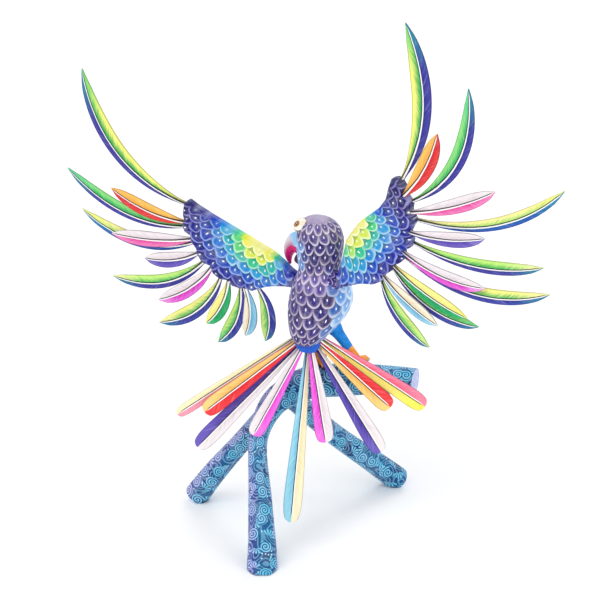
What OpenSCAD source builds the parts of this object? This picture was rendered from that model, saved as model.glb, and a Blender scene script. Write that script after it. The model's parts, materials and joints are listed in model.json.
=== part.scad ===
// Carved and painted wooden parrot with spread plug-in wings, a pegged feather fan
// and a fanned tail, perched on a three-legged branch.
// Millimetres, +Z up, the bird's back towards -Y, resting on z = 0.

/* [Stance] */
// turn of the bird about the upright, its right side comes forward
bird_turn = 34; // [0:1:60]
// lean of the tail fan, its lower end comes forward
tail_lean = 25; // [10:1:35]
// height of the left shoulder socket
left_shoulder_z = 163.5; // [150:0.5:180]
// height of the right shoulder socket
right_shoulder_z = 172; // [160:0.5:190]

/* [Body] */
// half distance between the two wing seats
shoulder_half = 16.5; // [14:0.5:20]
// radius of the shoulder knob around each mortise
shoulder_r = 7.5; // [6:0.25:10]
// length of the wing tenon
tenon_len = 12; // [8:0.5:14]
// height of the wing tenon
tenon_h = 6; // [4:0.25:8]
// thickness of the wing tenon
tenon_t = 4; // [3:0.25:5]
// play between tenon and mortise, each side
tenon_play = 0.1; // [0.05:0.01:0.2]

/* [Wings] */
// thickness of the wing blank at its middle
wing_t = 8.5; // [7.5:0.25:11]
// radius of the domed faces of the wing
wing_dome_r = 330; // [200:10:600]
// distance of each feather row from the mid plane
row_offset = 1.75; // [1.5:0.05:2.25]

/* [Feathers] */
// diameter of the round feather pegs
peg_d = 2.2; // [1.6:0.1:2.4]
// depth of the peg inside its hole
peg_len = 6; // [4:0.5:8]
// play between a peg and its hole, each side
peg_play = 0.1; // [0.05:0.01:0.15]
// half thickness of a feather at its shaft
shaft_t = 1.2; // [0.8:0.1:1.3]
// half thickness of a feather at its edges
edge_t = 0.35; // [0.2:0.05:0.6]
// half width of the bare shaft at the root
shaft_w = 1.3; // [1:0.1:1.6]
// chord of the longest wing feather, the others follow in proportion
long_reach = 124; // [100:1:140]
// chord of the longest short wing feather, the others follow
short_reach = 72; // [55:1:80]
// length of the longest tail paddle, the others follow
tail_reach = 112; // [90:1:120]
// greatest half width of a long wing feather, the others follow
long_w = 7.6; // [6:0.2:8]
// half width of the short wing feathers
short_w = 5.4; // [3.5:0.2:6]
// half width of the tail paddles
paddle_w = 6; // [4.5:0.25:6.5]

/* [Branch] */
// height of the perch axis under the bird
perch_z = 97.5; // [90:0.5:105]
// radius of the perch under the bird
perch_r = 10.7; // [9:0.1:12]
// radius of the front foot
front_foot_r = 10; // [8:0.25:12]
// radius of the two side feet
side_foot_r = 8.2; // [7:0.2:10]
// diameter of the tenons on the two side roots
root_tenon_d = 6; // [5:0.25:8]
// length of the tenons on the two side roots
root_tenon_len = 9; // [6:0.5:12]
// radius of the boss that carries each side root
boss_r = 7; // [6.5:0.25:8]
// reach of each boss from the branch axis
boss_len = 13; // [12:0.5:16]

/* [Legs] */
// diameter of the dowel through each leg
dowel_d = 3; // [2:0.25:3.5]
// radius of the thigh where it meets the body
thigh_r = 5; // [4:0.25:6]
// radius of the ankle
ankle_r = 3.2; // [2.75:0.1:4]

/* [Hidden] */

$fn = 32;
// glue line between neighbouring pieces
gap = 0.3;
// spot face around each feather root
seat_d = 4.6;
// room left clear in the body beside each wing root: reach, more than the wing's thickness, height
seat_cut = [20, 6, 34];
// play of dowels and root tenons, each side
glue_play = 0.1;
// small overlap that keeps joined solids joined
eps = 0.05;

// the bird's own axis stands here
bird_at = [1.5, -5, 0];
// the shoulders sit this far forward of the axis
shoulder_fwd = 1.7;
// root of the tail fan
tail_at = [0.5, -12.7, 125.5];

// body sections: height, forward shift, half width, half depth
body_rows = [
    [127.5, -12, 5, 5], [130, -11, 9, 9], [134, -8, 12.6, 13.4], [139, -3.4, 16, 17.4],
    [144.5, 1, 18.8, 20.6], [151, 4.4, 20.4, 22], [158, 5.6, 20, 21.3], [165, 5, 17.8, 18.6],
    [171, 4, 15, 15.6], [176, 3.5, 13.6, 14.2], [182, 3.5, 14, 14.9], [189, 4, 14.9, 15.9],
    [196, 4, 15.2, 16.2], [203, 3, 14.2, 15], [208.5, 1.5, 11.6, 12], [212, 0, 7.5, 7.5],
    [213.8, -0.5, 2.5, 2.5]];

// the head looks this way, measured about the upright
face_turn = 140;
// centre of the head
head_at = [4, -1.5, 0];
// upper beak: reach, height, half height, half width
beak_rows = [[8, 188, 9.5, 8], [15, 188.5, 8.6, 7], [20.5, 187.5, 7.2, 5.6], [24.8, 183.5, 5.2, 4.4],
    [26.8, 178.5, 3.4, 3.2], [26.6, 174.2, 1.9, 1.9], [25.4, 171, 0.7, 0.7]];
// lower beak: reach, height, half height, half width
chin_rows = [[8, 180, 5.5, 6], [14.5, 178.2, 4.8, 5], [18.4, 176.4, 3.4, 3.8], [20.6, 175.4, 1.5, 2]];

// wing feathers: outward, up, chord angle, chord length, bow, half width; scaled by the named sizes below
left_long_rows = [[87, 31, 42.5, 112.5, 20, 6.4], [87, 15.5, 10.5, 96, 11.5, 4.6],
    [80, 6.5, 0, 90, 12, 4.6], [73, -5, -22.5, 79, 10, 4.8], [60.5, -13.5, -43, 67, 8.5, 5.4],
    [45.5, -16, -69, 48.5, 6.5, 5.4], [32, -14, -99, 37.5, 6, 5.8]];
left_short_rows = [[86.5, 20, 9, 59, 4], [80, 9.5, -11, 65.5, 2.5], [76, 0.5, -19, 45, 3],
    [65.5, -7, -39, 54.5, 4], [52.5, -13.5, -63.5, 39, 3.5], [39, -15.5, -89, 34, 4]];
right_long_rows = [[47, 82.5, 88.5, 112.5, 15.5, 7.6], [55.5, 70, 64.5, 100.5, 16, 5.8],
    [59.5, 58, 23.5, 124, 13.5, 4.4], [57, 41, 4.5, 100.5, 8, 4.8], [51, 28.5, 1.5, 111.5, 13, 5.2],
    [40.5, 19.5, -21, 71.5, 9, 5.4], [32, 8, -46, 53.5, 6, 5.4]];
right_short_rows = [[50.5, 73.5, 62.5, 57.5, 4], [57, 64, 25.5, 72, 3], [55.5, 49.5, 10, 59.5, 3],
    [50.5, 34.5, -9, 64.5, 5], [44, 22.5, -22, 61, 3], [35.5, 13.5, -30.5, 49, 2.5]];
function long_fit(rows) = [for (r = rows)
    [r[0], r[1], r[2], r[3] * long_reach / 124, r[4] * long_reach / 124, r[5] * long_w / 7.6]];
function short_fit(rows) = [for (r = rows)
    [r[0], r[1], r[2], r[3] * short_reach / 72, r[4] * short_reach / 72, short_w]];
left_long = long_fit(left_long_rows);
left_short = short_fit(left_short_rows);
right_long = long_fit(right_long_rows);
right_short = short_fit(right_short_rows);

// wing outlines: outward, up
left_outline = [[0, 4.6], [5, 7], [12, 11.6], [19, 15.4], [36, 20.4], [52.5, 25.2], [67, 29.4], [79, 33.4],
    [84.5, 36], [87.2, 33], [88, 25], [86.6, 21], [88.4, 17.6], [86.8, 13.4], [82, 11.6], [81.6, 7.4],
    [77.6, 3.4], [76.4, -1.2], [73.4, -5.4], [66.4, -6.4], [64.6, -11.4], [59.2, -14], [53.4, -13.2],
    [49.4, -16.4], [43.6, -16.6], [38.6, -15.4], [34, -16], [30, -13.8], [24, -10.6], [17, -8], [8, -5.8],
    [0, -4.8]];
right_outline = [[0, 5.6], [2.6, 12], [4.6, 20.4], [7, 31.8], [12, 39.8], [17, 46.8], [26, 55], [32.5, 61],
    [37.6, 68.6], [39.6, 77], [42, 84], [45.4, 85.4], [48.6, 83.6], [51.6, 79.4], [50.4, 74], [54.4, 72.6],
    [57, 69.4], [56.4, 64.6], [58.4, 61], [60.4, 57.6], [57.8, 53.6], [55.8, 49.2], [58, 44], [56.6, 38.6],
    [51, 34.4], [52, 29.6], [47.6, 24.8], [42.6, 22], [41, 17.4], [36, 13.4], [33, 8], [28, 5], [18, 3],
    [8, -1.4], [0, -5.2]];

// the domed faces run along the wing from this point at this angle
left_mid = [48, 6];
left_rise = 12;
right_mid = [34, 42];
right_rise = 58;

// tail paddles: across, up, angle, length, front layer 1 or back layer -1, half width
tail_table = [[-15.5, 3, 213, 88, -1, 4], [-13.5, 0.5, 217, 73, 1, 6], [-12, -2, 225, 91, -1, 6],
    [-9.5, -3.5, 241, 63, 1, 5.6], [-5, -3.5, 264.5, 112, -1, 6], [-2.5, -3.5, 279, 60.5, 1, 6],
    [2, -3, 301.5, 78, -1, 6], [5, -1, 318, 59, 1, 6], [8, 2, 326.5, 76, -1, 6]];
tail_rows = [for (r = tail_table)
    [r[0], r[1], r[2], r[3] * tail_reach / 112, r[4], r[5] * paddle_w / 6]];
// outline of the wedge that takes the tail pegs: across, up
tail_wedge = [[-16, 12], [-17.5, 4.5], [-14, -1.5], [-9, -5], [-3, -5.5], [4, -4.5], [9.5, 1], [10.5, 8],
    [8, 14]];

// main branch from the front foot to the cut end: x, y, z, radius
branch_rows = [[-34, -90.5, -6, front_foot_r], [-34, -85, 0, front_foot_r], [-34, -72, 17, 8.9],
    [-35, -57, 35, 7.7], [-37, -38, 59, 6.2], [-35, -27, 72.6, 6.9], [-27.5, -17, 84, 8.6],
    [-16, -10, perch_z - 6.3, 9.9], [-1.5, -7, perch_z - 1, perch_r], [16.5, -8, perch_z + 0.8, perch_r],
    [42.5, -8.5, perch_z + 1, 9.6], [71.5, -11, perch_z + 1, 8.3]];
// the perch is sawn off here, the saw cut turned by this much
saw_at = [65.5, -11, perch_z + 1];
saw_turn = 18;
// side roots start on the branch axis here
left_fork = [-22.5, -14, 87];
right_fork = [-17.5, -11, 90];
left_rows = [[-46.5, 2, 50, 6.6], [-62.5, 11, 26, 7.4], [-78, 19.5, 0, side_foot_r],
    [-82, 21.5, -7, side_foot_r]];
right_rows = [[11, 17, 49, 6.8], [35.5, 31.5, 23, 7.4], [57, 44, 0, side_foot_r],
    [62, 47, -6, side_foot_r]];
// each side root is cut off square where its axis is this high
end_z = 2.5;
// way each side root leaves the branch
function point(r) = [r[0], r[1], r[2]];
left_way = point(left_rows[0]) - left_fork;
right_way = point(right_rows[0]) - right_fork;

// leg axis: foot point on the perch top and point inside the body
left_foot = [2.5, -3, perch_z + 11];
left_hip = [-1.5, 2, 142];
right_foot = [30.5, -7, perch_z + 10.7];
right_hip = [5.5, 1, 143];
// the dowel reaches this far below the foot point
dowel_down = 7;
// thigh ends this far below the hip point
thigh_down = 10;

function unit(v) = v / norm(v);
function along(a, b, d) = a + unit(b - a) * d;
function lerp(a, b, t) = a + (b - a) * t;
function spline(p, i, t) =
    let (a = p[max(i - 1, 0)], b = p[i], c = p[i + 1], d = p[min(i + 2, len(p) - 1)])
    0.5 * (2 * b + (c - a) * t + (2 * a - 5 * b + 4 * c - d) * t * t + (3 * b - a - 3 * c + d) * t * t * t);
function dense(p, n) = [for (i = [0 : len(p) - 2]) for (k = [0 : n - 1]) spline(p, i, k / n), p[len(p) - 1]];
function flat_list(l) = [for (a = l) for (b = a) b];

// closed skin over rings of m points each
module skin(rings) {
    n = len(rings);
    m = len(rings[0]);
    sides = [for (i = [0 : n - 2]) for (k = [0 : m - 1]) let (k2 = (k + 1) % m)
        each [[i * m + k, (i + 1) * m + k2, i * m + k2], [i * m + k, (i + 1) * m + k, (i + 1) * m + k2]]];
    low = [for (k = [1 : m - 2]) [0, k, k + 1]];
    top = [for (k = [1 : m - 2]) (n - 1) * m * [1, 1, 1] + [0, k + 1, k]];
    polyhedron(points = flat_list(rings), faces = concat(low, sides, top), convexity = 6);
}

// round bar along a path of [x, y, z, radius]
module bar(path, m) {
    n = len(path);
    pos = [for (p = path) [p[0], p[1], p[2]]];
    rings = [for (i = [0 : n - 1])
        let (t = unit(pos[min(i + 1, n - 1)] - pos[max(i - 1, 0)]),
             a = unit(cross([0, 1, 0], t)),
             b = cross(t, a))
        [for (k = [0 : m - 1]) pos[i] + path[i][3] * (cos(360 * k / m) * a + sin(360 * k / m) * b)]];
    skin(rings);
}

// points +Z of the child along v from point p
module aim(p, v) {
    translate(p)
        rotate([0, atan2(norm([v[0], v[1]]), v[2]), atan2(v[1], v[0])])
            children();
}

// feather lying in the XZ plane along +X; bow is the sideways sweep of its shaft
leaf_u = [0, 0.06, 0.14, 0.24, 0.36, 0.48, 0.6, 0.7, 0.79, 0.87, 0.94, 1];
leaf_w = [0, 0.06, 0.24, 0.5, 0.76, 0.93, 1, 0.96, 0.82, 0.58, 0.3, 0.06];
paddle_u = [0, 0.05, 0.14, 0.3, 0.5, 0.7, 0.84, 0.91, 0.955, 0.985, 1];
paddle_wide = [0, 0.03, 0.16, 0.4, 0.66, 0.88, 1, 0.98, 0.85, 0.6, 0.22];
function shaft(l, bow, u) = [u * l, 4 * bow * u * (1 - u)];
function heading(l, bow, u) = atan2(4 * bow * (1 - 2 * u), l);
module blade(l, bow, w, us, ws) {
    rings = [for (i = [0 : len(us) - 1])
        let (u = us[i],
             c = shaft(l, bow, u),
             h = heading(l, bow, u),
             d = [-sin(h), cos(h)],
             hw = lerp(i == len(us) - 1 ? 0.3 : shaft_w, w, ws[i]),
             ht = lerp(shaft_t, 0.45, pow(u, 3)))
        [for (s = [[hw, -edge_t], [0, -ht], [-hw, -edge_t], [-hw, edge_t], [0, ht], [hw, edge_t]])
            [c[0] + d[0] * s[0], s[1], c[1] + d[1] * s[0]]]];
    skin(rings);
}
module feather(l, bow, w, us, ws) {
    blade(l, bow, w, us, ws);
    rotate([0, -heading(l, bow, 0), 0])
        rotate([0, -90, 0])
            translate([0, 0, -eps * 20])
                cylinder(h = peg_len + eps * 20, d = peg_d, $fn = 24);
}
// hole and spot face for one feather, drawn in the same frame
module socket(l, bow) {
    rotate([0, -heading(l, bow, 0), 0])
        rotate([0, -90, 0]) {
            cylinder(h = peg_len + gap, d = peg_d + 2 * peg_play, $fn = 24);
            translate([0, 0, -9])
                cylinder(h = 9 + gap, d = seat_d, $fn = 24);
        }
}

// frames
module bird() {
    translate(bird_at)
        rotate([0, 0, -bird_turn])
            children();
}
// side is 1 for the right wing and -1 for the left wing
module wing_frame(side) {
    bird()
        translate([side * shoulder_half, shoulder_fwd, side > 0 ? right_shoulder_z : left_shoulder_z])
            children();
}
module on_wing(side, row, layer) {
    wing_frame(side)
        translate([side * row[0], layer * row_offset, row[1]])
            rotate([0, -(side > 0 ? row[2] : 180 - row[2]), 0])
                children();
}
module tail_frame() {
    translate(tail_at)
        rotate([-tail_lean, 0, 0])
            children();
}
module on_tail(i) {
    r = tail_rows[i];
    tail_frame()
        translate([r[0], -r[4] * row_offset, r[1]])
            rotate([0, -r[2], 0])
                children();
}

// wings
module wing_feather(side, row, layer) {
    on_wing(side, row, layer)
        feather(row[3], -side * row[4], row[5], leaf_u, leaf_w);
}
module wing_dome(side, mid, rise, face) {
    translate([side * mid[0], face * (wing_dome_r - wing_t / 2), mid[1]])
        rotate([0, 90 - side * rise, 0])
            cylinder(h = 300, r = wing_dome_r, center = true, $fn = 360);
}
module wing(side, outline, longs, shorts, mid, rise) {
    difference() {
        wing_frame(side)
            union() {
                intersection() {
                    rotate([90, 0, 0])
                        linear_extrude(height = wing_t * 2, center = true)
                            polygon([for (p = outline) [side * p[0], p[1]]]);
                    wing_dome(side, mid, rise, 1);
                    wing_dome(side, mid, rise, -1);
                }
                translate([-side * (tenon_len - eps) / 2 + side * eps, 0, 0])
                    cube([tenon_len + eps, tenon_t, tenon_h], center = true);
            }
        for (r = longs)
            on_wing(side, r, 1)
                socket(r[3], -side * r[4]);
        for (r = shorts)
            on_wing(side, r, -1)
                socket(r[3], -side * r[4]);
    }
}
module left_wing() {
    color([0.16, 0.55, 0.62])
        wing(-1, left_outline, left_long, left_short, left_mid, left_rise);
}
module right_wing() {
    color([0.16, 0.55, 0.62])
        wing(1, right_outline, right_long, right_short, right_mid, right_rise);
}

module left_long_n(i) { color([0.3, 0.6, 0.35]) wing_feather(-1, left_long[i], 1); }
module left_short_n(i) { color([0.95, 0.6, 0.5]) wing_feather(-1, left_short[i], -1); }
module right_long_n(i) { color([0.3, 0.6, 0.35]) wing_feather(1, right_long[i], 1); }
module right_short_n(i) { color([0.95, 0.6, 0.5]) wing_feather(1, right_short[i], -1); }
module left_long_1() { left_long_n(0); }
module left_long_2() { left_long_n(1); }
module left_long_3() { left_long_n(2); }
module left_long_4() { left_long_n(3); }
module left_long_5() { left_long_n(4); }
module left_long_6() { left_long_n(5); }
module left_long_7() { left_long_n(6); }
module left_short_1() { left_short_n(0); }
module left_short_2() { left_short_n(1); }
module left_short_3() { left_short_n(2); }
module left_short_4() { left_short_n(3); }
module left_short_5() { left_short_n(4); }
module left_short_6() { left_short_n(5); }
module right_long_1() { right_long_n(0); }
module right_long_2() { right_long_n(1); }
module right_long_3() { right_long_n(2); }
module right_long_4() { right_long_n(3); }
module right_long_5() { right_long_n(4); }
module right_long_6() { right_long_n(5); }
module right_long_7() { right_long_n(6); }
module right_short_1() { right_short_n(0); }
module right_short_2() { right_short_n(1); }
module right_short_3() { right_short_n(2); }
module right_short_4() { right_short_n(3); }
module right_short_5() { right_short_n(4); }
module right_short_6() { right_short_n(5); }

// tail
module tail_n(i) {
    color([0.85, 0.35, 0.5])
        on_tail(i)
            feather(tail_rows[i][3], 0, tail_rows[i][5], paddle_u, paddle_wide);
}
module tail_1() { tail_n(0); }
module tail_2() { tail_n(1); }
module tail_3() { tail_n(2); }
module tail_4() { tail_n(3); }
module tail_5() { tail_n(4); }
module tail_6() { tail_n(5); }
module tail_7() { tail_n(6); }
module tail_8() { tail_n(7); }
module tail_9() { tail_n(8); }

// body, head and beak in one carving
module trunk() {
    m = 24;
    skin([for (r = dense(body_rows, 2))
        [for (k = [0 : m - 1]) [r[2] * cos(360 * k / m), r[1] + r[3] * sin(360 * k / m), r[0]]]]);
}
// beak ring stands across its own path
module beak(rows) {
    m = 16;
    path = dense(rows, 2);
    n = len(path);
    skin([for (i = [0 : n - 1])
        let (a = path[max(i - 1, 0)],
             b = path[min(i + 1, n - 1)],
             t = unit([b[0] - a[0], b[1] - a[1]]))
        [for (k = [0 : m - 1])
            [path[i][0] - t[1] * path[i][2] * sin(360 * k / m), path[i][3] * cos(360 * k / m),
                path[i][1] + t[0] * path[i][2] * sin(360 * k / m)]]]);
}
module body() {
    color([0.32, 0.24, 0.55])
        difference() {
            union() {
                bird()
                    trunk();
                for (side = [-1, 1])
                    wing_frame(side)
                        rotate([0, side * 90, 0])
                            translate([0, 0, -shoulder_half + 3])
                                cylinder(h = shoulder_half - 3 - gap, r1 = shoulder_r + 2.5, r2 = shoulder_r);
                translate(head_at)
                    rotate([0, 0, face_turn])
                        beak(beak_rows);
                translate(head_at)
                    rotate([0, 0, face_turn])
                        beak(chin_rows);
                tail_block();
            }
            for (side = [-1, 1])
                wing_frame(side) {
                    translate([-side * (tenon_len + gap) / 2, 0, 0])
                        cube([tenon_len + gap, tenon_t + 2 * tenon_play, tenon_h + 2 * tenon_play],
                            center = true);
                    translate([side * (seat_cut[0] / 2 - gap), 0, 0])
                        cube([seat_cut[0], wing_t + seat_cut[1], seat_cut[2]], center = true);
                }
            for (i = [0 : len(tail_rows) - 1])
                on_tail(i)
                    socket(tail_rows[i][3], 0);
            leg_cut(left_foot, left_hip);
            leg_cut(right_foot, right_hip);
        }
}
// wedge under the body that takes the tail pegs
module tail_block() {
    tail_frame()
        rotate([90, 0, 0])
            linear_extrude(height = 2 * row_offset + 6, center = true)
                polygon(tail_wedge);
}
module leg_cut(foot, hip) {
    l = norm(hip - foot);
    aim(foot, hip - foot) {
        translate([0, 0, l - thigh_down])
            cylinder(h = thigh_down + gap, d = dowel_d + 2 * glue_play);
        translate([0, 0, 6])
            cylinder(h = l - thigh_down - 6 + gap, r = thigh_r + gap);
    }
}

// legs
module toe(a, b, r1, r2) {
    hull() {
        translate(a)
            sphere(r = r1, $fn = 12);
        translate(b)
            sphere(r = r2, $fn = 12);
    }
}
module leg(foot, hip, lean) {
    l = norm(hip - foot);
    color([0.1, 0.4, 0.75])
        difference() {
            union() {
                aim(foot, hip - foot) {
                    translate([0, 0, gap])
                        cylinder(h = 5, r = ankle_r);
                    translate([0, 0, 4])
                        cylinder(h = l - thigh_down - 4, r1 = ankle_r, r2 = thigh_r);
                }
                translate(foot)
                    rotate([0, 0, lean]) {
                        toe([0, -1, 3], [-3, -8.6, 1], 2.3, 1.5);
                        toe([0, -1, 3], [4, -8.4, 1], 2.3, 1.5);
                        toe([0, 1, 3], [-4, 8, 0.6], 2.3, 1.5);
                        toe([0, 1, 3], [4, 8, 0.6], 2.3, 1.5);
                    }
            }
            aim(foot, hip - foot)
                translate([0, 0, -dowel_down])
                    cylinder(h = l + dowel_down, d = dowel_d + 2 * glue_play);
        }
}
module left_leg() { leg(left_foot, left_hip, 0); }
module right_leg() { leg(right_foot, right_hip, 0); }
module leg_dowel(foot, hip) {
    color([0.75, 0.6, 0.4])
        aim(foot, hip - foot)
            translate([0, 0, -dowel_down])
                cylinder(h = norm(hip - foot) + dowel_down, d = dowel_d);
}
module left_leg_dowel() { leg_dowel(left_foot, left_hip); }
module right_leg_dowel() { leg_dowel(right_foot, right_hip); }

// branch
module floor_cut() {
    translate([0, 0, -50])
        cube([400, 400, 100], center = true);
}
module fork_boss(at, way) {
    aim(at, way)
        cylinder(h = boss_len, r = boss_r);
}
module fork_bore(at, way) {
    aim(at, way)
        translate([0, 0, boss_len - root_tenon_len])
            cylinder(h = root_tenon_len + 1, d = root_tenon_d + 2 * glue_play);
}
module foot_seat(foot, hip) {
    aim(foot, hip - foot) {
        translate([0, 0, -dowel_down - gap])
            cylinder(h = dowel_down + gap, d = dowel_d + 2 * glue_play);
        cylinder(h = 12, r = ankle_r + gap);
    }
}
module perch_branch() {
    color([0.06, 0.36, 0.55])
        difference() {
            union() {
                bar(dense(branch_rows, 3), 20);
                fork_boss(left_fork, left_way);
                fork_boss(right_fork, right_way);
            }
            fork_bore(left_fork, left_way);
            fork_bore(right_fork, right_way);
            foot_seat(left_foot, left_hip);
            foot_seat(right_foot, right_hip);
            floor_cut();
            translate(saw_at)
                rotate([0, 0, -saw_turn])
                    translate([20, 0, 0])
                        cube(40, center = true);
        }
}
module root(at, way, rows) {
    start = at + unit(way) * (boss_len - 3);
    color([0.06, 0.36, 0.55])
        difference() {
            union() {
                difference() {
                    bar(dense(concat([concat(start, boss_r)], rows), 5), 20);
                    aim(at, way)
                        translate([0, 0, boss_len + gap - 20])
                            cube(40, center = true);
                }
                aim(at, way)
                    translate([0, 0, boss_len - root_tenon_len + gap])
                        cylinder(h = root_tenon_len + 1, d = root_tenon_d);
            }
            floor_cut();
            end_cut(point(rows[1]), point(rows[2]));
        }
}
// square cut across the foot of a side root, leaving a flat to stand on
module end_cut(a, b) {
    aim(lerp(b, a, end_z / (a[2] - b[2])), b - a)
        translate([0, 0, 10])
            cube([40, 40, 20], center = true);
}
module left_root() { root(left_fork, left_way, left_rows); }
module right_root() { root(right_fork, right_way, right_rows); }

body();
left_wing();
right_wing();
left_long_1();
left_long_2();
left_long_3();
left_long_4();
left_long_5();
left_long_6();
left_long_7();
left_short_1();
left_short_2();
left_short_3();
left_short_4();
left_short_5();
left_short_6();
right_long_1();
right_long_2();
right_long_3();
right_long_4();
right_long_5();
right_long_6();
right_long_7();
right_short_1();
right_short_2();
right_short_3();
right_short_4();
right_short_5();
right_short_6();
tail_1();
tail_2();
tail_3();
tail_4();
tail_5();
tail_6();
tail_7();
tail_8();
tail_9();
left_leg();
right_leg();
left_leg_dowel();
right_leg_dowel();
perch_branch();
left_root();
right_root();
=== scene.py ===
import json
import math

import bmesh
import bpy
from mathutils import Matrix, Vector
from mathutils.bvhtree import BVHTree

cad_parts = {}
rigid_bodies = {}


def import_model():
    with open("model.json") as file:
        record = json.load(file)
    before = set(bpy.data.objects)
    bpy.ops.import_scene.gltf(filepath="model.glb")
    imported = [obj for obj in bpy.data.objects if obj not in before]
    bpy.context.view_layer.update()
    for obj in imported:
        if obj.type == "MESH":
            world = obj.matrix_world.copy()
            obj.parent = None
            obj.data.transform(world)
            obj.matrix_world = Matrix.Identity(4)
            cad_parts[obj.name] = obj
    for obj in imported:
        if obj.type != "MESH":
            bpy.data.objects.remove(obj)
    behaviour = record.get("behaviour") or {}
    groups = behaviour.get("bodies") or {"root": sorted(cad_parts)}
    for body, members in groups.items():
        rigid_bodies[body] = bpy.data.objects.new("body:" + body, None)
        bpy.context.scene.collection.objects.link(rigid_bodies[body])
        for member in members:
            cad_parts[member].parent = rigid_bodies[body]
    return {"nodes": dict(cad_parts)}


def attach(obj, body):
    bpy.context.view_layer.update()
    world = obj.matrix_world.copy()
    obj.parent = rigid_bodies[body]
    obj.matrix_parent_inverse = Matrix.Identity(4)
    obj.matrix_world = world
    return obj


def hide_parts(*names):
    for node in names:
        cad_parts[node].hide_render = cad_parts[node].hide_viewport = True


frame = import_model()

MM = 0.001
TAU = 2 * math.pi
SIDES = {-1: "left", 1: "right"}

# Sizes in millimetres, as in the construction.
BIRD_TURN, BIRD_AT = math.radians(34), Vector((1.5, -5, 0))
TAIL_LEAN, TAIL_AT = math.radians(25), Vector((0.5, -12.7, 125.5))
SHOULDER = {-1: (16.5, 1.7, 163.5), 1: (16.5, 1.7, 172.0)}
ROW_OFFSET = 1.75               # of each layer of feathers, from the middle of the wing or tail

# wings: thickness, radius of the domed faces, width of the rounded edge; points along and across
WING_T, WING_DOME_R, WING_EDGE = 8.5, 330.0, 3.2
WING_ALONG, WING_ACROSS = 110, 22
# wing tenons: length, thickness, height, start inside the wing, play on each side
TENON_L, TENON_T, TENON_H, TENON_IN, TENON_PLAY = 12.0, 4.0, 6.0, 0.5, 0.1
# between wing and body; pocket in the body: play, reach outward, more play round the mortise
SEAT_GAP, SEAT_EASE = 0.3, 0.1
POCKET_PLAY, POCKET_OUT, POCKET_EASE = 0.4, 12.0, 0.2
# heights that the wing's root takes up below and above its tenon
ROOT_SPAN = {-1: (-6.4, 7.6), 1: (-5.6, 6.4)}
# shoulder knobs: start, radius, taper; from KNOB_ROUND of the length on, a rounded end
KNOB_IN, KNOB_R, KNOB_TAPER = 3.0, 7.4, 1.2
KNOB_ROUND, KNOB_END_R, KNOB_END_FALL = 0.9, 6.3, 14.0
KNOB_RINGS, KNOB_SIDES = 12, 32
# their pattern: length once round, where it starts, length from ring to ring
KNOB_GIRTH, KNOB_SCALES_AT, KNOB_STEP = 46.4, 4.0, 1.2

# feathers: half thickness at the shaft's root, its tip and the edge; half width of the shaft
SHAFT_T, SHAFT_TIP_T, EDGE_T, SHAFT_W = 1.2, 0.5, 0.35, 1.3
SHORT_W = 5.4
LONG_LEAN, SHORT_LEAN = 0.16, 0.02      # how much wider the inner vane is
PERCH_Z, PERCH_R = 97.5, 10.7

# body: height, middle, half width, half depth
BODY_ROWS = [(127.5, -12, 5, 5), (130, -11, 9, 9), (134, -8, 12.6, 13.4), (139, -3.4, 16, 17.4),
             (144.5, 1, 18.8, 20.6), (151, 4.4, 20.4, 22), (158, 5.6, 20, 21.3), (165, 5, 17.8, 18.6),
             (171, 4, 15, 15.6), (176, 3.5, 13.6, 14.2), (182, 3.5, 14, 14.9), (189, 4, 14.9, 15.9),
             (196, 4, 15.2, 16.2), (203, 3, 14.2, 15), (208.5, 1.5, 11.6, 12), (212, 0, 7.5, 7.5),
             (213.8, -0.5, 2.5, 2.5)]
BODY_SIDES = 72
FACE_TURN, HEAD_AT = math.radians(140), Vector((4, -1.5, 0))
# beak: forward, height, half height, half width
BEAK_ROWS = [(8, 188, 9.5, 8), (15, 188.5, 8.6, 7), (20.5, 187.5, 7.2, 5.6), (24.8, 183.5, 5.2, 4.4),
             (26.8, 178.5, 3.4, 3.2), (26.6, 174.2, 1.9, 1.9), (25.4, 171, 0.7, 0.7)]
CHIN_ROWS = [(8, 180, 5.5, 6), (14.5, 178.2, 4.8, 5), (18.4, 176.4, 3.4, 3.8), (20.6, 175.4, 1.5, 2)]
BEAK_SIDES = 36
# eyes: where a ray from outside meets the head, turn from the beak and lift of each
HEAD_MID = Vector((-2, 0, 196))
EYE_TURN, EYE_LIFT = math.radians(52), {1: math.radians(40), -1: math.radians(31)}
# eye pieces: name, radius, squash, along the eye, out of the head, paint
EYE_PARTS = [
    ("mound", 6.5, (1.0, 0.82, 0.8), 0.0, -4.6, "brow"),
    ("ring", 6.05, (1.0, 0.78, 0.2), 0.0, -0.1, "eye_ring"),
    ("patch", 5.8, (1.0, 0.76, 0.38), 0.0, 0.0, "eye_patch"),
    ("rim", 3.1, (1.0, 0.74, 0.3), 0.9, 1.5, "eye_ring"), ("iris", 2.7, (1.0, 0.74, 0.36), 0.9, 1.6, "iris"),
    ("pupil", 1.2, (1, 0.9, 0.5), 0.9, 2.15, "pupil")]
# painted glint on each eye: radius, along the eye, out of the head
GLINT_R, GLINT_ALONG, GLINT_OUT = 0.35, 0.6, 2.7

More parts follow.
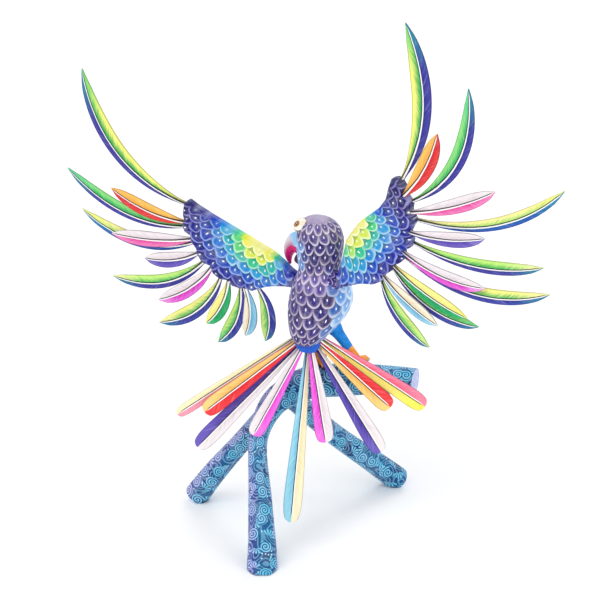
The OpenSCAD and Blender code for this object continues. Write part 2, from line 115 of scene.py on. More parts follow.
# wing feathers: outward, up, chord angle, chord length, bow, half width if it is not SHORT_W
FEATHERS = {
    (-1, "long"): [
        (87, 31, 42.5, 112.5, 20, 6.4), (87, 15.5, 10.5, 96, 11.5, 4.6), (80, 6.5, 0, 90, 12, 4.6),
        (73, -5, -22.5, 79, 10, 4.8), (60.5, -13.5, -43, 67, 8.5, 5.4), (45.5, -16, -69, 48.5, 6.5, 5.4),
        (32, -14, -99, 37.5, 6, 5.8)],
    (-1, "short"): [
        (86.5, 20, 9, 59, 4), (80, 9.5, -11, 65.5, 2.5), (76, 0.5, -19, 45, 3), (65.5, -7, -39, 54.5, 4),
        (52.5, -13.5, -63.5, 39, 3.5), (39, -15.5, -89, 34, 4)],
    (1, "long"): [
        (47, 82.5, 88.5, 112.5, 15.5, 7.6), (55.5, 70, 64.5, 100.5, 16, 5.8),
        (59.5, 58, 23.5, 124, 13.5, 4.4), (57, 41, 4.5, 100.5, 8, 4.8), (51, 28.5, 1.5, 111.5, 13, 5.2),
        (40.5, 19.5, -21, 71.5, 9, 5.4), (32, 8, -46, 53.5, 6, 5.4)],
    (1, "short"): [
        (50.5, 73.5, 62.5, 57.5, 4, SHORT_W + 1), (57, 64, 25.5, 72, 3), (55.5, 49.5, 10, 59.5, 3),
        (50.5, 34.5, -9, 64.5, 5), (44, 22.5, -22, 61, 3), (35.5, 13.5, -30.5, 49, 2.5)]}
# wing outlines: outward, up; first the leading edge, then the scalloped rest
OUTLINE = {
    -1: ([(0, 4.6), (5, 7), (12, 11.6), (19, 15.4), (36, 20.4), (52.5, 25.2), (67, 29.4), (79, 33.4),
          (84.5, 36)],
         [(87.2, 33), (88, 25), (86.6, 21), (88.4, 17.6), (86.8, 13.4), (82, 11.6), (81.6, 7.4), (77.6, 3.4),
          (76.4, -1.2), (73.4, -5.4), (66.4, -6.4), (64.6, -11.4), (59.2, -14), (53.4, -13.2), (49.4, -16.4),
          (43.6, -16.6), (38.6, -15.4), (34, -16), (30, -13.8), (24, -10.6), (17, -8), (8, -5.8), (0, -4.8)]),
    1: ([(0, 5.6), (2.6, 12), (4.6, 20.4), (7, 31.8), (12, 39.8), (17, 46.8), (26, 55), (32.5, 61),
         (37.6, 68.6), (39.6, 77), (42, 84), (45.4, 85.4)],
        [(48.6, 83.6), (51.6, 79.4), (50.4, 74), (54.4, 72.6), (57, 69.4), (56.4, 64.6), (58.4, 61),
         (60.4, 57.6), (57.8, 53.6), (55.8, 49.2), (58, 44), (56.6, 38.6), (51, 34.4), (52, 29.6),
         (47.6, 24.8), (42.6, 22), (41, 17.4), (36, 13.4), (33, 8), (28, 5), (18, 3), (8, -1.4), (0, -5.2)])}
# middle of the wing's dome: outward, up; rise of its axis in degrees
WING_MID = {-1: (48, 6, 12), 1: (34, 42, 58)}

# tail paddles: across, up, angle, length, front layer 1 or back layer -1, half width
TAIL_ROWS = [(-15.5, 3, 213, 88, -1, 4), (-13.5, 0.5, 217, 73, 1, 6), (-12, -2, 225, 91, -1, 6),
             (-9.5, -3.5, 241, 63, 1, 5.6), (-5, -3.5, 264.5, 112, -1, 6), (-2.5, -3.5, 279, 60.5, 1, 6),
             (2, -3, 301.5, 78, -1, 6), (5, -1, 318, 59, 1, 6), (8, 2, 326.5, 76, -1, 6)]
TAIL_IN = 7.0                   # how far the shafts run into the wedge
TAIL_WEDGE = [(-13, 12), (-14, 4.5), (-12.5, -1), (-9, -4.5), (-4, -5.5), (0, -4.8), (3, -1.5),
              (4.5, 4), (4, 12)]
WEDGE_MID, WEDGE_SIDES = Vector((-3, 4)), 48
# wedge sections: depth, size
WEDGE_ROWS = [(-4.9, 0.86), (-4.5, 0.95), (-3.4, 1.0), (3.4, 1.0), (4.5, 0.95), (4.9, 0.86)]

# branches: x, y, z, radius
BRANCH_ROWS = [
    (-34, -90.5, -6, 10), (-34, -85, 0, 10), (-34, -72, 17, 8.9), (-35, -57, 35, 7.7), (-37, -38, 59, 6.2),
    (-35, -27, 72.6, 6.9), (-27.5, -17, 84, 8.6), (-16, -10, PERCH_Z - 6.3, 9.9),
    (-1.5, -7, PERCH_Z - 1, PERCH_R), (16.5, -8, PERCH_Z + 0.8, PERCH_R), (42.5, -8.5, PERCH_Z + 1, 9.6),
    (71.5, -11, PERCH_Z + 1, 8.3)]
SAW_AT, SAW_TURN = Vector((65.5, -11, PERCH_Z + 1)), math.radians(18)
ROOTS = {"left": (Vector((-22.5, -14, 87)),
                  [(-46.5, 2, 50, 6.6), (-62.5, 11, 26, 7.4), (-78, 19.5, 0, 8.2), (-82, 21.5, -7, 8.2)]),
         "right": (Vector((-17.5, -11, 90)),
                   [(11, 17, 49, 6.8), (35.5, 31.5, 23, 7.4), (57, 44, 0, 8.2), (62, 47, -6, 8.2)])}
ROOT_R, ROOT_STARTS = 7.0, (2, 14)
BRANCH_SIDES, CUT_BEVEL = 48, 0.5
END_Z = 2.5                     # height at which a root's end is cut square

# legs: foot, hip
LEGS = {"left": (Vector((2.5, -3, PERCH_Z + 11)), Vector((-1.5, 2, 142))),
        "right": (Vector((30.5, -7, PERCH_Z + 10.7)), Vector((5.5, 1, 143)))}
SHANK_AT, SHANK_R = (0.4, 4, 10, 15), (3.1, 3.1, 3.1, 2.9)
# toes from the foot: start x, y and end x, y, z
TOES = [(0, -1, -3, -8.6, 0.9), (0, -1, 4, -8.4, 0.9), (0, 1, -4, 8, 0.6), (0, 1, 4, 8, 0.6)]
TOE_START_Z, TOE_ARCH, TOE_R = 3, 1.2, (2.6, 2.3, 1.5)
# claws from the toe's end: outward, up; radii
CLAW_AT, CLAW_R = [(-0.6, 0.3), (1.4, -0.1), (2.6, -1.8)], (1.2, 0.9, 0.25)
DOWEL_R, DOWEL_DOWN = 1.5, 7

# feather widths along the length: place, share of the full half width
LEAF = [(0, 0), (0.06, 0.09), (0.14, 0.33), (0.24, 0.59), (0.36, 0.82), (0.48, 0.95), (0.6, 1), (0.7, 0.96),
        (0.79, 0.82), (0.87, 0.58), (0.94, 0.3), (1, 0.0)]
PADDLE = [(0, 0), (0.05, 0.03), (0.14, 0.16), (0.3, 0.4), (0.5, 0.66), (0.7, 0.88), (0.84, 1), (0.91, 0.98),
          (0.955, 0.85), (0.985, 0.6), (1, 0.12)]
FEATHER_STEPS = 44
FEATHER_ACROSS = [-1, -0.86, -0.62, -0.36, -0.14, 0, 0.14, 0.36, 0.62, 0.86, 1]

# Colours. A vane is (at the shaft, at the edge, at the tip).
VIOLET, INDIGO = ("#2c2888", "#3d3b9e", "#22809e"), ("#262c86", "#3840a2", "#267a9e")
TEAL, WHITE = ("#1566a0", "#1f52b0", "#238cae"), ("#dacdd4", "#ebe3e5", "#ebe4e5")
RED, AMBER = ("#d8262f", "#ea3a3e", "#ec3c40"), ("#f0ae52", "#f8c772", "#f8d080")
MAGENTA, PURPLE = ("#dc3fc6", "#ee62dc", "#f070de"), ("#463694", "#5d4cae", "#6a5ab8")
# wing feathers: inner vane, outer vane
LONG_TONES = [(("#2aa84c", "#eff27c", "#7ed46c"), VIOLET), (("#22ac5c", "#8ade7c", "#62d08a"), VIOLET),
              (("#a6d66a", "#f2ef9a", "#e6ee7c"), TEAL), (("#3fb454", "#c2ef78", "#eaf4a0"), VIOLET),
              (("#5cb95c", "#f0f084", "#f4f2a0"), INDIGO), (("#3ab458", "#c6ec78", "#62cc78"), INDIGO),
              (("#4ab75a", "#d2ee80", "#c4ec84"), INDIGO)]
SHORT_TONES = [
    (("#eda43e", "#f7c05c", "#f4b658"), ("#cc1f2c", "#e23a38", "#d4303a")),
    (WHITE, ("#dc3f98", "#ec74b4", "#ee86be")), (WHITE, ("#4c3fa4", "#6a58b8", "#7a6cc0")),
    (WHITE, ("#cc2cb4", "#e45ad4", "#ec90e0")),
    (("#e9e286", "#f6f08c", "#f4ee6a"), ("#0f8f52", "#19ad64", "#2fb670")),
    (("#e6d7b4", "#f4ead2", "#f2e6cc"), ("#5fa6cc", "#8cc8e2", "#9ad2e8"))]
# tail paddles: vane to the left and to the right of travel
TAIL_TONES = [
    (("#ee7f98", "#f492a8", "#f29aae"), ("#efe2a6", "#f8f0c4", "#f6eebc")), (RED, AMBER), (WHITE, PURPLE),
    (MAGENTA, WHITE), (("#ecdcaa", "#f8eac0", "#f8ecc6"), ("#74bcd6", "#92d0e4", "#96d4e6")),
    (WHITE, MAGENTA), (WHITE, PURPLE), (RED, AMBER),
    (("#ee5a7c", "#f6809a", "#f6869e"), ("#f0dc6a", "#f8ec7a", "#f8f05a"))]
WING_STOPS = [(0.0, "#f4f08a"), (0.11, "#f3ec22"), (0.16, "#c8e84c"), (0.21, "#3ed272"), (0.28, "#00bc94"),
              (0.39, "#029ed2"), (0.55, "#0668d0"), (0.71, "#1c38ae"), (0.85, "#2b1f8c"), (1.0, "#361d70")]
WING_RIMS = [(0.3, "#f4fff0"), (0.5, "#d8f6ff"), (0.85, "#d6c8ff")]
# yellow patch on the leading edge: middle, half length, pull to indigo at root and tip; reach of the shading
FOCUS = {-1: (30.5, 5.0, 1.3, 0.8), 1: (38.0, 8.0, 1.1, 1.2)}
WING_REACH = 42.0
PURPLE_STOPS = [(0.32, "#2a1f6c"), (0.45, "#453480"), (0.57, "#725f98"), (0.68, "#564470")]
BLUE_STOPS = [(0.3, "#4888cc"), (0.5, "#70a8de"), (0.7, "#a4caea")]
# beak: a pale to grey-mauve painted highlight along the ridge, then magenta sides
BEAK_STOPS = [(0.0, "#f2edf1"), (0.17, "#cfc0cc"), (0.25, "#b06a98"), (0.3, "#dc1070"), (0.5, "#cc0c6a")]
BRANCH_STOPS = [(0.3, "#08285e"), (0.46, "#0a3f7c"), (0.6, "#0b588a"), (0.76, "#12468a")]
MOTIF_STOPS = [(0.0, "#62c2e2"), (0.35, "#80c6e8"), (0.7, "#aabcec"), (1.0, "#c6c0ee")]
# the last of these paints is white, for the painted glint on each pupil
EYE_PAINTS = {"eye_patch": ("#fbf3e6", "#f3dcc4", 0.42, 0.12), "brow": ("#54448c", "#77669e"),
              "eye_ring": ("#6e4f52", "#8a6a64"), "iris": ("#c08a52", "#9c6232"),
              "pupil": ("#1a1414", "#2a1c1a", 0.25), "eye_glint": ("#ffffff", "#f6f6ff", 0.3)}

# scales round the body, and how many degrees of its turn stand for a millimetre in the pattern
BODY_SCALES, DEGREES_PER_MM = 13, 3.0
# branch pattern: size of a cell in millimetres; the rest in shares of a cell
MOTIF = 8.8
SPIRAL_R, SPIRAL_WINDS = 0.5, 5.2
FAN_R, FAN_RAYS, FAN_STROKES = 0.58, 12.0, 5.0
FAN_SHARE = 0.62                # cells with a random number above this hold a fan

# Stage, in metres and watts.
LAMPS = [("key", (-1.1, -1.3, 1.7), (0, 0, 0.17), 2.2, 19), ("fill", (1.4, -1.1, 0.9), (0, 0, 0.17), 1.4, 8),
         ("rear", (0.4, 1.5, 1.4), (0, 0, 0.2), 1.2, 9)]
SOFT_LIGHT, PLAIN_WHITE = 0.75, 1.0
FLOOR_SIZE, FLOOR_Z, FLOOR_FADE = 60, -0.0002, (0.45, 1.3)
REACH, FIELD, SENSOR = 14.0, 0.390, 36
CAMERA_LIFT, CAMERA_AIM = math.radians(25), Vector((-9.3, 15.5, 144.6)) * MM


def linear(hexa):
    out = []
    for i in (1, 3, 5):
        c = int(hexa[i:i + 2], 16) / 255
        out.append(c / 12.92 if c <= 0.04045 else ((c + 0.055) / 1.055) ** 2.4)
    return (*out, 1.0)


def operator(op):
    return lambda a, b: a.paint.math(op, a, b)


def swapped(op):
    return lambda a, b: a.paint.math(op, b, a)


class Field:
    """A value that varies over a surface; its arithmetic adds nodes to the paint."""

    def __init__(self, paint, socket):
        self.paint, self.socket = paint, socket

    __add__, __sub__, __rsub__ = operator("ADD"), operator("SUBTRACT"), swapped("SUBTRACT")
    __mul__, __truediv__ = operator("MULTIPLY"), operator("DIVIDE")
    __gt__, __lt__ = operator("GREATER_THAN"), swapped("GREATER_THAN")


class Paint:
    """Builds the nodes of one painted-wood material."""

    def __init__(self, name, rough=0.42, gloss=0.22):
        self.mat = bpy.data.materials.new(name)
        self.mat.use_nodes = True
        self.tree = self.mat.node_tree
        self.tree.nodes.clear()
        self.bsdf = self.node("ShaderNodeBsdfPrincipled")
        self.surface = self.node("ShaderNodeOutputMaterial").inputs["Surface"]
        self.put(self.surface, self.bsdf.outputs["BSDF"])
        self.bsdf.inputs["Roughness"].default_value = rough
        self.bsdf.inputs["Specular IOR Level"].default_value = gloss

    def node(self, kind, operation=None):
        n = self.tree.nodes.new(kind)
        if operation:
            n.operation = operation
        return n

    def put(self, socket, value):
        if isinstance(value, Field):
            value = value.socket
        if isinstance(value, bpy.types.NodeSocket):
            self.tree.links.new(value, socket)
        else:
            socket.default_value = linear(value) if isinstance(value, str) else value

    def math(self, op, *values):
        n = self.node("ShaderNodeMath", op)
        for socket, value in zip(n.inputs, values):
            self.put(socket, value)
        return Field(self, n.outputs[0])

    def abs(self, v):
        return self.math("ABSOLUTE", v)

    def fract(self, v):
        return self.math("FRACT", v)

    def ridge(self, v):
        """Distance from the middle of each whole step of v."""
        return self.abs(self.fract(v) - 0.5)

    def length(self, a, b):
        return self.math("SQRT", a * a + b * b)

    def step(self, lo, hi, v):
        n = self.node("ShaderNodeMapRange")
        n.interpolation_type = "SMOOTHSTEP"
        self.put(n.inputs["Value"], v)
        self.put(n.inputs["From Min"], lo)
        self.put(n.inputs["From Max"], hi)
        return Field(self, n.outputs["Result"])

    def fall(self, lo, hi, v):
        return 1.0 - self.step(lo, hi, v)

    def lerp(self, t, a, b):
        n = self.node("ShaderNodeMix")
        n.data_type = "FLOAT"
        for i, value in ((0, t), (2, a), (3, b)):
            self.put(n.inputs[i], value)
        return Field(self, n.outputs[0])

    def mix(self, t, a, b, how="MIX"):
        n = self.node("ShaderNodeMix")
        n.data_type = "RGBA"
        n.blend_type = how
        for i, value in ((0, t), (6, a), (7, b)):
            self.put(n.inputs[i], value)
        return Field(self, n.outputs[2])

    def shade(self, t, a, b):
        return self.mix(t, a, b, "MULTIPLY")

    def ramp(self, t, stops):
        n = self.node("ShaderNodeValToRGB")
        el = n.color_ramp.elements
        while len(el) < len(stops):
            el.new(0.5)
        for e, (place, hexa) in zip(el, stops):
            e.position, e.color = place, linear(hexa)
        self.put(n.inputs[0], t)
        return Field(self, n.outputs[0])

    def noise(self, vec, scale, detail=2.0, rough=0.5):
        n = self.node("ShaderNodeTexNoise")
        for key, value in (("Vector", vec), ("Scale", scale), ("Detail", detail), ("Roughness", rough)):
            self.put(n.inputs[key], value)
        return Field(self, n.outputs["Fac"])

    def parts(self, kind, value):
        """First two parts of a vector or a colour."""
        n = self.node(kind)
        self.put(n.inputs[0], value)
        return Field(self, n.outputs[0]), Field(self, n.outputs[1])

    def uv(self, name):
        n = self.node("ShaderNodeUVMap")
        n.uv_map = name
        return self.parts("ShaderNodeSeparateXYZ", n.outputs[0])

    def vec(self, x, y, z=0.0):
        n = self.node("ShaderNodeCombineXYZ")
        for socket, value in zip(n.inputs, (x, y, z)):
            self.put(socket, value)
        return Field(self, n.outputs[0])

    def finish(self, color, bump, strength=0.15, distance=0.0003):
        self.put(self.bsdf.inputs["Base Color"], color)
        b = self.node("ShaderNodeBump")
        b.inputs["Strength"].default_value = strength
        b.inputs["Distance"].default_value = distance
        self.put(b.inputs["Height"], bump)
        self.put(self.bsdf.inputs["Normal"], b.outputs[0])
        return self.mat


def scale_rows(p, x, y, w, h, r, wobble=0.5):
    """Overlapping painted scales, rounded end towards +y.

    Gives rim, dot, core round the dot, painted shadow, painted highlight (glow) and the place of each scale."""
    sway = p.noise(p.vec(x, y), 0.11, 1.0) - 0.5
    lift = p.noise(p.vec(y, x, 7.0), 0.13, 1.0) - 0.5
    x = sway * (2 * wobble * w * 0.35) + x
    y = p.math("MAXIMUM", lift * (2 * wobble * h * 0.6) + y, 0.01)
    rows, cols = y / h, x / w
    row = p.math("FLOOR", rows)
    f = rows - row
    odd = p.math("FLOORED_MODULO", row, 2.0)

    def cell(offset):
        xx = offset * 0.5 + cols
        col = p.math("FLOOR", xx)
        return xx - col - 0.5, (col + 0.5 - offset * 0.5) * w

    def distance(g, dy):
        return p.length(g, dy * (r / 0.98))

    g1, c1 = cell(odd)
    g2, c2 = cell(1.0 - odd)
    d = distance(g1, f)
    inside = d < r
    cx = p.lerp(inside, c2, c1)
    cy = p.lerp(inside, row + 1.0, row) * h
    # the rim is strongest at the rounded end, and uneven from scale to scale
    rim = inside * (p.step(r - 0.15, r - 0.07, d) * p.fall(r - 0.04, r - 0.005, d))
    rim = rim * (p.step(0.1, 0.65, f) * 0.7 + 0.3)
    rim = rim * (p.step(0.32, 0.66, p.noise(p.vec(cx, cy, 5.0), 0.7, 0.0)) * 0.5 + 0.58)
    # painted highlight (glow) towards each scale's rim, and painted shadow just beyond its rounded end, on
    # the scale that it overlaps
    glow = inside * p.step(r - 0.34, r - 0.05, d)
    shadow = (1.0 - inside) * p.fall(r, r + 0.34, d)
    from_dot = distance(p.lerp(inside, g2, g1) * 1.5, p.lerp(inside, f - 1.0, f) - 0.14)
    return rim, p.fall(0.045, 0.095, from_dot), p.fall(0.08, 0.36, from_dot), shadow, glow, cx, cy


def grain(p, x, y):
    """Fine brush marks over carved wood."""
    fine = p.noise(p.vec(x * 0.25, y * 1.6), 1.0, 4.0, 0.6)
    return fine * 0.6 + p.noise(p.vec(x, y, 3.0), 0.16, 3.0) * 0.6


def chalk(p, col, g, strength):
    """Pale brush marks."""
    return p.mix(p.step(0.55, 0.8, g) * strength, col, "#ffffff")


def feather_paint(name, pos, neg, white_side, seed, line=1.0):
    """Two-coloured feather, split at the shaft by a white and a dark line."""
    p = Paint(name, 0.4)
    u, v = p.uv("uv")
    x, y = p.uv("mm")
    across = p.abs((v - 0.5) * 2.0)
    # brush marks run outward and tipward from the shaft
    barb = x - p.abs(y) * 1.6
    streak = p.noise(p.vec(barb * 0.95, y * 0.14, seed), 1.0, 3.0, 0.65)
    broad = p.noise(p.vec(x * 0.07, y * 0.6, seed + 4.0), 1.0, 3.0, 0.6)
    wander = (streak - 0.5) * 0.9
    out = p.step(0.12, 0.78, across + wander)
    end = p.step(0.7, 0.97, u + wander * 0.2)

    def vane(tones):
        return p.mix(end, p.mix(out, tones[0], tones[1]), tones[2])

    col = p.mix(p.step(-0.1, 0.1, y), vane(neg), vane(pos))
    col = p.mix(p.step(0.54, 0.76, streak) * 0.2, col, "#ffffff")
    col = p.shade(p.step(0.47, 0.26, streak) * 0.18, col, "#9a90b4")
    col = p.shade(p.step(0.48, 0.3, broad) * 0.12, col, "#9a90b4")
    # painted shade towards the root, where the feather meets the wing or the wedge
    col = p.shade(p.fall(0.0, 0.24, u) * 0.5, col, "#7a5a78")
    # painted shade along the edges of the vanes, a grey line that stands in for the shaded side edge
    col = p.shade(p.step(0.88, 0.97, across) * 0.85, col, "#b9b0be")
    # white line on one side of the shaft, dark line on the other, both thinner towards the tip
    sway = (p.noise(p.vec(x, seed), 0.1, 2.0) - 0.5) * 0.4
    beside = (y + sway) * float(white_side)
    white = p.step(-0.04, 0.06, beside) * (p.lerp(u, 1.15 * line, 0.6) > beside)
    dark = (beside > p.lerp(p.math("POWER", u, 0.5), -1.2 * line, -0.62)) * (beside < 0.0)
    stop = p.fall(0.94, 0.99, u)
    col = p.mix(white * stop, col, "#fbf9f6")
    col = p.mix(dark * (stop * 0.92), col, "#1c1626")
    return p.finish(col, streak + broad, 0.12, 0.0002)


def wing_paint(name, focus, half, root_pull, tip_pull):
    """Scales shading outward from a yellow patch on the leading edge to indigo."""
    p = Paint(name, 0.38)
    x, y = p.uv("mm")
    rim, dot, core, shadow, glow, cx, cy = scale_rows(p, x, y, 8.6, 6.0, 0.56, 0.7)
    inner = p.step(0.6, 2.4, y)      # the leading edge itself has no scales and shades smoothly
    shadow, glow = shadow * inner, glow * inner
    cx = p.lerp(inner, x, cx)
    before = p.math("MAXIMUM", focus - half - cx, 0.0) * root_pull
    after = p.math("MAXIMUM", cx - (focus + half), 0.0) * tip_pull
    t = p.length(before + after, cy) / WING_REACH + (p.noise(p.vec(cx, cy), 0.35, 0.0) - 0.5) * 0.14
    base = p.ramp(t, WING_STOPS)
    cool = p.step(0.42, 0.7, t)
    # painted shade over the scales, strongest in the blue part, then a painted highlight (glow) towards each
    # rim
    col = p.shade(cool * 0.75 + 0.14, base, "#5a74cc")
    col = p.mix(core * 0.3, col, p.mix(0.3, base, "#bfe4ff"))
    lit = p.mix(p.lerp(cool, 0.34, 0.3), base, p.mix(cool, "#d2f4ff", "#6c86f4"))
    col = p.mix(p.step(0.4, 1.0, glow) * p.lerp(cool, 0.6, 0.4), col, lit)
    # painted shadow just beyond each scale's rounded end, in a dark tone of its colour
    shadow_tone = p.mix(0.78, base, p.mix(cool, "#1f6e44", "#0d0a40"))
    col = p.mix(shadow * p.lerp(cool, 0.75, 0.95), col, shadow_tone)
    col = p.mix(rim * inner * 0.85, col, p.mix(p.lerp(cool, 0.6, 0.5), base, p.ramp(t, WING_RIMS)))
    col = p.mix(dot * inner, col, "#fdfdff")
    g = grain(p, x, y)
    return p.finish(chalk(p, col, g, 0.15), rim * 0.8 + (g - shadow), 0.3)


def turned_from(p, angle, centre):
    """Angle in degrees away from a direction, 0 to 180."""
    return p.abs(p.math("FLOORED_MODULO", angle - centre + 180.0, 360.0) - 180.0)


def body_paint(name):
    """Purple scaled back and crown, the crown's top lightened to pale lilac as a painted highlight;
    light-blue breast and face.
    """
    p = Paint(name)
    x, y = p.uv("mm")      # x runs once round the body as 0 to 360, y down from the crown in millimetres
    _, z = p.uv("turn")    # z is the height
    width = 360.0 / BODY_SCALES / DEGREES_PER_MM
    *marks, cx, cy = scale_rows(p, x / DEGREES_PER_MM, y, width, 7.4, 0.55, 0.45)
    below_crown = p.fall(210.4, 212.6, z)
    rim, dot, core, shadow, glow = (mark * below_crown for mark in marks)
    angle = cx * DEGREES_PER_MM
    from_breast = turned_from(p, angle, 90.0)
    head = p.step(174.0, 182.0, z)
    face = p.fall(66.0, 98.0, turned_from(p, angle, 174.0)) * p.fall(194.0, 202.0, z)
    pale = p.lerp(head, p.fall(108.0, 132.0, from_breast), face)
    pick = p.noise(p.vec(cx, cy, 2.0), 0.6, 0.0)
    blue = p.mix(p.fall(70.0, 104.0, from_breast) * (1.0 - head), p.ramp(pick, BLUE_STOPS), "#c4e2f8")
    base = p.mix(pale, p.ramp(pick, PURPLE_STOPS), blue)
    neck = p.step(163.0, 168.0, z) * p.fall(175.0, 179.0, z)
    base = p.mix(neck * (1.0 - pale) * 0.85, base, "#b09ccb")
    # painted highlight: the crown lightened to pale lilac, as lit from above
    base = p.mix(p.step(198.0, 211.0, z) * 0.85, base, "#ab9dbb")
    base = p.mix(p.fall(133.0, 146.0, z) * 0.35, base, "#7e6c96")
    # painted shade over the scales below the crown, then a painted highlight (glow) towards each rim and a
    # painted shadow just beyond it
    col = p.shade(p.lerp(pale, 0.85, 0.5) * below_crown, base, p.mix(pale, "#6c5cb4", "#8cc0f4"))
    col = p.mix(core * 0.6, col, p.mix(pale, "#3a2a98", "#5c9ce8"))
    col = p.mix(p.step(0.1, 0.95, glow), col, p.mix(0.18, base, p.mix(pale, "#8c7e94", "#d4eafc")))
    shadow_tone = p.mix(0.7, base, p.mix(pale, "#1e1238", "#2a62b4"))
    col = p.mix(shadow * p.lerp(pale, 0.85, 0.5), col, shadow_tone)
    col = p.mix(rim * 0.86, col, p.mix(0.62, base, "#f8f3ff"))
    col = p.mix(dot, col, "#ffffff")
    g = grain(p, x, y)
    return p.finish(chalk(p, col, g, 0.14), rim * 0.8 + (g - shadow), 0.3)


def shoulder_paint(name):
    """Small dark scales with lilac rims."""
    p = Paint(name)
    x, y = p.uv("mm")
    rim, dot, core, shadow, _, cx, cy = scale_rows(p, x, y, 5.8, 4.6, 0.56)
    base = p.ramp(p.noise(p.vec(cx, cy), 0.6, 0.0), [(0.35, "#2a2068"), (0.65, "#4c3c86")])
    col = p.mix(shadow * 0.8, p.mix(core * 0.5, base, "#3a34a0"), "#140e38")
    col = p.mix(rim * 0.8, col, "#b9a8dc")
    return p.finish(p.mix(dot, col, "#f4f0ff"), rim - shadow, 0.3)


def voronoi(p, pos, scale, loose):
    """Scattered cells, with two random numbers for each."""
    v = p.node("ShaderNodeTexVoronoi")
    v.voronoi_dimensions = "2D"
    p.put(v.inputs["Vector"], pos)
    v.inputs["Scale"].default_value = scale
    v.inputs["Randomness"].default_value = loose
    return v.outputs, *p.parts("ShaderNodeSeparateColor", v.outputs["Color"])


def from_middle(p, pos, middle):
    """Distance from the middle of a cell, and the turn round it in whole turns."""
    off = p.node("ShaderNodeVectorMath", "SUBTRACT")
    p.put(off.inputs[0], pos)
    p.put(off.inputs[1], middle)
    dx, dy = p.parts("ShaderNodeSeparateXYZ", off.outputs[0])
    return p.length(dx, dy), p.math("ARCTAN2", dy, dx) / TAU


def spirals(p, rad, turn, r1, r2):
    way = (r2 > 0.5) * 2.0 - 1.0
    wave = p.ridge(rad * SPIRAL_WINDS + (turn * way + r1))
    return p.fall(0.24, 0.32, wave) * p.fall(SPIRAL_R - 0.03, SPIRAL_R, rad)


def fans(p, rad, turn, r2):
    """Rounded strokes that widen outward, and the space that they leave."""
    swing = p.fract(turn + r2)
    ray = p.ridge(swing * FAN_RAYS)
    band = p.step(0.1, 0.14, rad) * (FAN_R - ray * ray * 0.5 > rad)
    sector = swing < FAN_STROKES / FAN_RAYS
    return p.fall(0.27, 0.35, ray) * band * sector, 1.0 - sector * p.step(FAN_R, FAN_R - 0.04, rad)


def facing(p, way, lo, hi):
    """Share of a surface's turn towards a direction."""
    n = p.node("ShaderNodeVectorMath", "DOT_PRODUCT")
    p.put(n.inputs[0], p.node("ShaderNodeNewGeometry").outputs["Normal"])
    n.inputs[1].default_value = way
    return p.step(lo, hi, n.outputs["Value"])


def branch_paint(name, seed):
    """Spirals, fans of strokes, echoing lines and dots over dark blue, with a painted lavender sheen on the
    sides.
    """
    p = Paint(name, 0.4)
    x, y = p.uv("mm")
    pos = p.vec(x / MOTIF, y / MOTIF + seed)
    cells, r1, r2 = voronoi(p, pos, 1.0, 0.6)
    rad, turn = from_middle(p, pos, cells["Position"])
    fan, space = fans(p, rad, turn, r2)
    is_fan = r1 > FAN_SHARE
    motif = p.lerp(is_fan, spirals(p, rad, turn, r1, r2), fan)
    # bundles of wavy lines between the motifs
    echo = p.fall(0.15, 0.22, p.ridge(p.noise(pos, 0.8, 0.0) * 9.5))
    echo = echo * p.lerp(is_fan, p.step(SPIRAL_R, SPIRAL_R + 0.02, rad), space)
    # dots in the spaces
    specks, pick, _ = voronoi(p, pos, 4.2, 0.8)
    dots = p.fall(0.2, 0.28, specks["Distance"]) * (pick > 0.8)
    dots = dots * p.step(SPIRAL_R - 0.02, SPIRAL_R + 0.02, rad)
    # painted sheen: the sides facing the upper left and the right, and the motifs on them, are lightened to
    # lavender as a painted reflection of the white surroundings
    lavender_sheen = p.math("MAXIMUM", facing(p, (-0.9, -0.1, 0.42), 0.42, 0.96) * 0.8,
                   facing(p, (1.0, 0.0, 0.0), 0.72, 0.98) * 0.6)
    base = p.mix(lavender_sheen, p.ramp(p.noise(p.vec(x, y, seed), 0.05, 2.0), BRANCH_STOPS), "#3a4a94")
    tint = p.ramp(r2 * 0.35 + lavender_sheen * 0.75, MOTIF_STOPS)
    col = p.mix(echo * 0.66, base, p.mix(0.7, base, tint))
    col = p.mix(motif, col, tint)
    col = p.mix(dots, col, "#b9e8f6")
    g = grain(p, x, y)
    return p.finish(chalk(p, col, g, 0.1), motif + (g + echo), 0.25)


def plain_paint(name, first, second, rough=0.42, freq=0.3):
    p = Paint(name, rough)
    x, y = p.uv("mm")
    n = p.noise(p.vec(x, y), freq, 4.0, 0.6)
    return p.finish(p.mix(p.step(0.35, 0.65, n), first, second), n)


def wood_paint(name):
    p = Paint(name, 0.6)
    x, y = p.uv("mm")
    n = p.noise(p.vec(x * 2.0, y * 0.15), 1.0, 4.0, 0.6)
    return p.finish(p.ramp(n, [(0.3, "#b98d5b"), (0.7, "#dcb988")]), n, 0.2)


def beak_paint(name):
    """Magenta sides, a pale painted highlight along the ridge, light-blue base."""
    p = Paint(name, 0.36)
    x, y = p.uv("mm")
    k, t = p.uv("turn")
    ridge = p.abs(k - 0.25)
    n = p.noise(p.vec(x, y), 0.25, 3.0)
    col = p.ramp(ridge + (n - 0.5) * 0.04, BEAK_STOPS)
    return p.finish(p.mix(p.fall(0.34, 0.46, t + ridge * 0.7), col, "#8cc4ec"), n)


def wedge_paint(name):
    """Purple like the rump, bright blue below in the middle."""
    p = Paint(name)
    x, y = p.uv("mm")
    across, up = p.uv("turn")
    n = p.noise(p.vec(x, y), 0.3, 4.0, 0.6)
    low = p.step(1.5, -1.5, up) * p.step(11.0, 8.0, p.abs(across + 4.0))
    return p.finish(p.mix(low, p.mix(n, "#4f3f86", "#7c6a9c"), p.mix(n, "#1646b8", "#2f74dc")), n)


